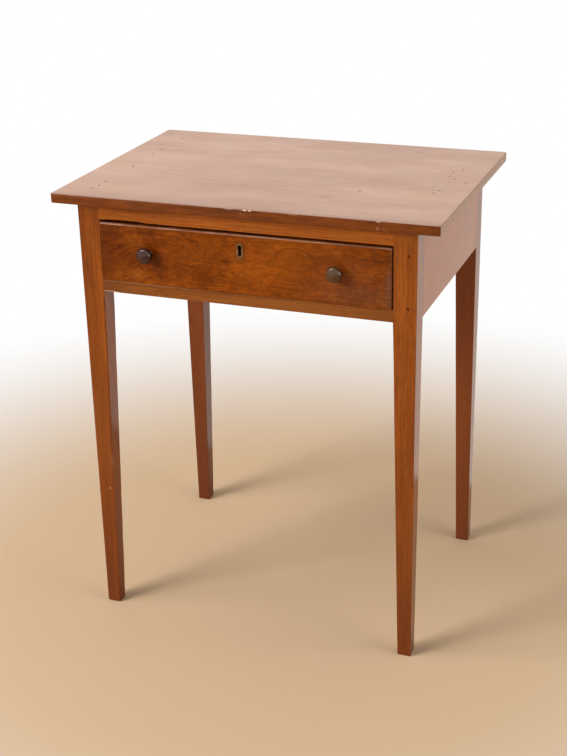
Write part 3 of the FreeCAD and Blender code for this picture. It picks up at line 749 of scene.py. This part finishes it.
def makeLeg(leg):
    low, high = shellBox(leg["node"], legWear["sides"])
    shell = addBlock("legShell", low, high)
    corner = [high[axis] if way > 0 else low[axis] for axis, way in enumerate(leg["out"])]
    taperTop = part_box("back_apron")[0].z
    width = high.x - low.x
    foot = footWidth(leg["node"]) - 2 * shellFit["skin"]
    edit(shell)
    bpy.ops.mesh.select_all(action="SELECT")
    bpy.ops.mesh.bisect(plane_co=(0, 0, taperTop), plane_no=(0, 0, 1))
    pick(shell, "VERT", lambda vert: vert.co.z < low.z + shellFit["skin"])
    share = foot / width
    bpy.ops.transform.resize(value=(share, share, 1), center_override=(*corner, low.z))
    divideAlong(shell, legWear["steps"])

    def free(edge):
        return all(vert.co.z < taperTop or atCorner(vert, corner) for vert in edge.verts)

    def isRounded(edge):
        return free(edge) and {facing(face.normal) for face in edge.link_faces} in leg["rounded"]

    if leg["rounded"]:
        softenArrises(shell, roundedWear, isRounded)
        edit(shell)
    softenArrises(shell, legWear, free)
    piece = cadCopy(leg["node"], leg["name"])
    keepInside(piece, shell)
    finishPiece(piece, leg["node"], "frame", legCherry)


for leg in legs:
    makeLeg(leg)
print("legs made")


# Aprons and rails

boards = [
    {"node": "left_apron", "name": "leftApron", "finish": sideCherry,
     "sides": ("left", "low"), "along": 1},
    {"node": "right_apron", "name": "rightApron", "finish": sideCherry,
     "sides": ("right", "low"), "along": 1},
    {"node": "back_apron", "name": "backApron", "finish": shadeMatchedBackCherry,
     "sides": ("back", "low"), "along": 0},
    {"node": "front_top_rail", "name": "topRail", "finish": topRailCherry,
     "sides": ("front", "low"), "along": 0},
    {"node": "front_bottom_rail", "name": "bottomRail", "finish": bottomRailCherry,
     "sides": ("front", "low", "high"), "along": 0},
]
boardWear = {"step": 9 * mm, "arris": 0.8 * mm, "rounds": 3, "patch": 30 * mm, "depth": 0.5 * mm}
# in mm: a hollow worn in the lower arris of the top rail, a bruise at the left end of the bottom rail
boardDents = {
    "topRail": [{"span": (-218, -158), "lift": 0.9}, {"span": (-200, -172), "lift": 0.4}],
    "bottomRail": [{"span": (-234, -210), "lift": 0.3}],
}


def makeBoard(board):
    low, high = shellBox(board["node"], board["sides"])
    shell = addBlock("boardShell", low, high)
    edit(shell)
    divideAlong(shell, {board["along"]: boardWear["step"]})
    softenArrises(shell, {**boardWear, "sides": board["sides"]})
    edit(shell)
    for dent in boardDents.get(board["name"], []):
        start, end = (x * mm for x in dent["span"])
        pick(shell, "VERT", lambda vert: start < vert.co.x < end
             and vert.co.y < low.y + 2 * boardWear["arris"] and vert.co.z < low.z + 2 * boardWear["arris"])
        bpy.ops.transform.translate(value=(0, 0, dent["lift"] * mm))
    leaveEdit()
    piece = cadCopy(board["node"], board["name"])
    keepInside(piece, shell)
    finishPiece(piece, board["node"], "frame", board["finish"])


for board in boards:
    makeBoard(board)
print("aprons and rails made")


# Drawer front: its top arris is worn most at the left, its right arris most at the bottom

drawerFrontWear = {
    "sides": ("front", "high", "right"), "facets": (22.5, 45.0, 67.5),
    "topRounds": (3.6 * mm, 0.9 * mm), "rightRounds": (2.0 * mm, 1.2 * mm),
}


def planeOff(shell, corners, rounds, side):  # one facet after another of a round that changes along its arris
    for angle in drawerFrontWear["facets"]:
        a = math.radians(angle)
        outward = Vector((0, -math.cos(a), 0)) + math.sin(a) * side
        depth = math.sin(a) + math.cos(a) - 1
        start, end = (corner - outward * depth * size for corner, size in zip(corners, rounds))
        along = (end - start).normalized()
        bpy.ops.mesh.select_all(action="SELECT")
        bpy.ops.mesh.bisect(
            plane_co=start, plane_no=outward - outward.dot(along) * along, use_fill=True, clear_outer=True,
        )


def makeDrawerFront():
    wear = drawerFrontWear
    low, high = shellBox("drawer_front", wear["sides"])
    shell = addBlock("drawerShell", low, high)
    topLeft, topRight = Vector((low.x, low.y, high.z)), Vector((high.x, low.y, high.z))
    lowRight = Vector((high.x, low.y, low.z))
    edit(shell)
    planeOff(shell, (topLeft, topRight), wear["topRounds"], Vector((0, 0, 1)))
    planeOff(shell, (lowRight, topRight), wear["rightRounds"], Vector((1, 0, 0)))
    leaveEdit()
    front = cadCopy("drawer_front", "drawerFront")
    keepInside(front, shell)
    finishPiece(front, "drawer_front", "drawer", drawerCherry)


makeDrawerFront()
print("drawer front made")


# Knobs: rings of the turning, as heights from the drawer front and radii, in mm, smoothed afterwards

knobShape = {
    "points": 24, "smooth": 2, "smoothAngle": 60, "tenon": 5.0,
    "rings": [
        (0.0, 7.3), (0.3, 7.3), (1.6, 6.0), (4.6, 5.8), (7.2, 9.6), (8.4, 12.0), (12.8, 13.1), (17.0, 11.9),
        (18.8, 10.0), (19.2, 9.4), (19.2, 8.6), (20.4, 6.2), (21.6, 3.2), (22.0, 1.0),
    ],
}
knobs = [
    {"node": "left_knob", "name": "leftKnob", "finish": leftKnobWood},
    {"node": "right_knob", "name": "rightKnob", "finish": rightKnobWood},
]


def makeKnob(knob):
    low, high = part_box(knob["node"])
    middle = (low + high) / 2
    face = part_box("drawer_front")[0].y
    clearSelection()
    bpy.ops.mesh.primitive_circle_add(
        vertices=knobShape["points"], radius=knobShape["tenon"] * mm, fill_type="NGON",
        location=(middle.x, high.y, middle.z), rotation=(math.pi / 2, 0, 0),
    )
    piece = bpy.context.object
    piece.name = knob["name"]
    bpy.ops.object.transform_apply(location=True, rotation=True, scale=True)
    edit(piece)
    bpy.ops.mesh.select_all(action="SELECT")
    place, radius = high.y, knobShape["tenon"]
    for height, wide in [(0.0, radius)] + knobShape["rings"]:
        step = face - height * mm - place
        bpy.ops.mesh.extrude_region_move(TRANSFORM_OT_translate={"value": (0, step, 0)})
        place += step
        share = wide / radius
        bpy.ops.transform.resize(value=(share, 1, share), center_override=(middle.x, place, middle.z))
        radius = wide
    bpy.ops.mesh.select_all(action="SELECT")
    bpy.ops.mesh.remove_doubles(threshold=shellFit["sliver"])
    bpy.ops.mesh.normals_make_consistent(inside=False)
    leaveEdit()
    applyModifier(piece, "SUBSURF", levels=knobShape["smooth"], render_levels=knobShape["smooth"])
    finishPiece(piece, knob["node"], "drawer", knob["finish"], knobShape["smoothAngle"])


for knob in knobs:
    makeKnob(knob)
print("knobs turned")


# Escutcheon with its arrises broken

escutcheonShape = {"round": 0.35 * mm, "rounds": 2, "sharp": math.radians(50)}


def makeEscutcheon():
    piece = cadCopy("escutcheon", "keyholeRing")
    applyModifier(
        piece, "BEVEL", width=escutcheonShape["round"], segments=escutcheonShape["rounds"],
        limit_method="ANGLE", angle_limit=escutcheonShape["sharp"],
    )
    dropSlivers(piece)
    finishPiece(piece, "escutcheon", "drawer", keyholeBrass)


makeEscutcheon()
print("escutcheon made")


# The stage: floor, lamps, world and camera

# the camera sees the floor turn white gently round the table, but in reflections it is cream close behind it
floorLook = {
    "colour": tone(200, 171, 138), "size": 14.0, "clear": (0.0, -0.05), "near": 0.45, "far": 1.45,
    "behind": (0.38, 0.44), "cream": tone(255, 246, 234),
}
worldLook = {"ambient": 0.25}
lamps = [
    {"name": "keyLamp", "place": (-4.1, -4.6, 2.9), "size": 2.2, "power": 272, "mirrored": False},
    {"name": "fillLamp", "place": (2.6, -0.4, 1.4), "size": 2.0, "power": 36, "mirrored": True},
    {"name": "ceilingLamp", "place": (-0.2, 0.5, 2.7), "size": 2.2, "power": 21, "mirrored": True},
    {"name": "windowLamp", "place": (-1.6, -1.3, 2.9), "size": 1.6, "power": 54, "mirrored": True},
]
aim = Vector((0, 0, 0.5))
photoCamera = {
    "place": (0.75638, -2.03896, 1.29657), "yaw": 0.36069, "pitch": 0.40287, "roll": 0.02154,
    "lens": 67.05, "sensor": 36.0,
}


def seenRays(tree):  # the rays of the camera and of reflections, which see the white surroundings
    path = tree.nodes.new("ShaderNodeLightPath")
    shiny = calc(tree, "MAXIMUM", path.outputs["Is Glossy Ray"], path.outputs["Is Transmission Ray"])
    return path.outputs["Is Camera Ray"], shiny


def makeFloor():
    clearSelection()
    bpy.ops.mesh.primitive_plane_add(size=floorLook["size"], location=(0, 0, 0))
    floor = bpy.context.object
    floor.name = "floor"
    material = bpy.data.materials.new("paleFloor")
    material.use_nodes = True
    tree = material.node_tree
    tree.nodes.clear()
    near = put(tree, "ShaderNodeBsdfDiffuse", {"Color": floorLook["colour"]})
    cream = put(tree, "ShaderNodeEmission", {"Color": floorLook["cream"], "Strength": 1.0})
    white = put(tree, "ShaderNodeEmission", {"Color": (1, 1, 1, 1), "Strength": 1.0})
    inputs = {0: objectPlace(tree), 1: (*floorLook["clear"], 0.0)}
    away = put(tree, "ShaderNodeVectorMath", inputs, "Value", operation="DISTANCE")
    fade = spread(tree, away, floorLook["near"], floorLook["far"])
    behind = spread(tree, placeParts(tree)["Y"], *floorLook["behind"])
    camera, shiny = seenRays(tree)
    mixed = put(tree, "ShaderNodeMixShader", {0: calc(tree, "MULTIPLY", behind, shiny), 1: near, 2: cream})
    mixed = put(tree, "ShaderNodeMixShader", {0: calc(tree, "MULTIPLY", fade, camera), 1: mixed, 2: white})
    output = tree.nodes.new("ShaderNodeOutputMaterial")
    tree.links.new(mixed, output.inputs["Surface"])
    floor.data.materials.append(material)


def makeWorld():
    world = bpy.data.worlds.new("studio")
    bpy.context.scene.world = world
    world.use_nodes = True
    tree = world.node_tree
    tree.nodes.clear()
    strength = spread(tree, calc(tree, "MAXIMUM", *seenRays(tree)), 0.0, 1.0, worldLook["ambient"], 1.0)
    light = put(tree, "ShaderNodeBackground", {"Color": (1, 1, 1, 1), "Strength": strength})
    output = tree.nodes.new("ShaderNodeOutputWorld")
    tree.links.new(light, output.inputs["Surface"])


def makeLamps():
    for lamp in lamps:
        light = bpy.data.lights.new(lamp["name"], "AREA")
        light.size = lamp["size"]
        light.energy = lamp["power"]
        holder = bpy.data.objects.new(lamp["name"], light)
        bpy.context.scene.collection.objects.link(holder)
        holder.location = lamp["place"]
        holder.visible_glossy = lamp["mirrored"]
        holder.rotation_euler = (aim - holder.location).to_track_quat("-Z", "Y").to_euler()


def makeCamera():
    yaw, pitch, roll = (photoCamera[turn] for turn in ("yaw", "pitch", "roll"))
    forward = Vector((-math.sin(yaw) * math.cos(pitch), math.cos(yaw) * math.cos(pitch), -math.sin(pitch)))
    level = Vector((math.cos(yaw), math.sin(yaw), 0.0))
    down = forward.cross(level)
    right = math.cos(roll) * level + math.sin(roll) * down
    up = math.sin(roll) * level - math.cos(roll) * down
    camera = bpy.data.objects.new("photoCamera", bpy.data.cameras.new("photoCamera"))
    bpy.context.scene.collection.objects.link(camera)
    camera.data.lens = photoCamera["lens"]
    camera.data.sensor_width = photoCamera["sensor"]
    turn = Matrix((right, up, -forward)).transposed().to_4x4()
    camera.matrix_world = Matrix.Translation(photoCamera["place"]) @ turn
    bpy.context.scene.camera = camera


makeFloor()
makeWorld()
makeLamps()
makeCamera()
bpy.context.scene.view_settings.view_transform = "Standard"
print("stage set")


# CAD pieces take the finish of their slot, apart from some by name

slotFinishes = {
    "top_cherry": topCherry, "frame_cherry": shadeMatchedBackCherry, "drawer_front_cherry": drawerCherry,
    "secondary_wood": lengthwiseInside, "dark_turned_wood": leftKnobWood, "keyhole_brass": keyholeBrass,
    "lock_iron": lockIron, "nail_iron": nailIron,
}
crosswise = ("drawer_back", "drawer_bottom", "left_drawer_stop", "right_drawer_stop")
nodeFinishes = {
    "right_knob": rightKnobWood, "top_nails": topNailIron,
    "left_apron": sideCherry, "right_apron": sideCherry,
    **{leg["node"]: legCherry for leg in legs},
    **{node: crosswiseInside for node in crosswise},
}
for node, piece in frame["nodes"].items():
    slot = piece.data.materials[0].name
    piece.data.materials[0] = nodeFinishes.get(node, slotFinishes[slot])
print("CAD pieces finished")
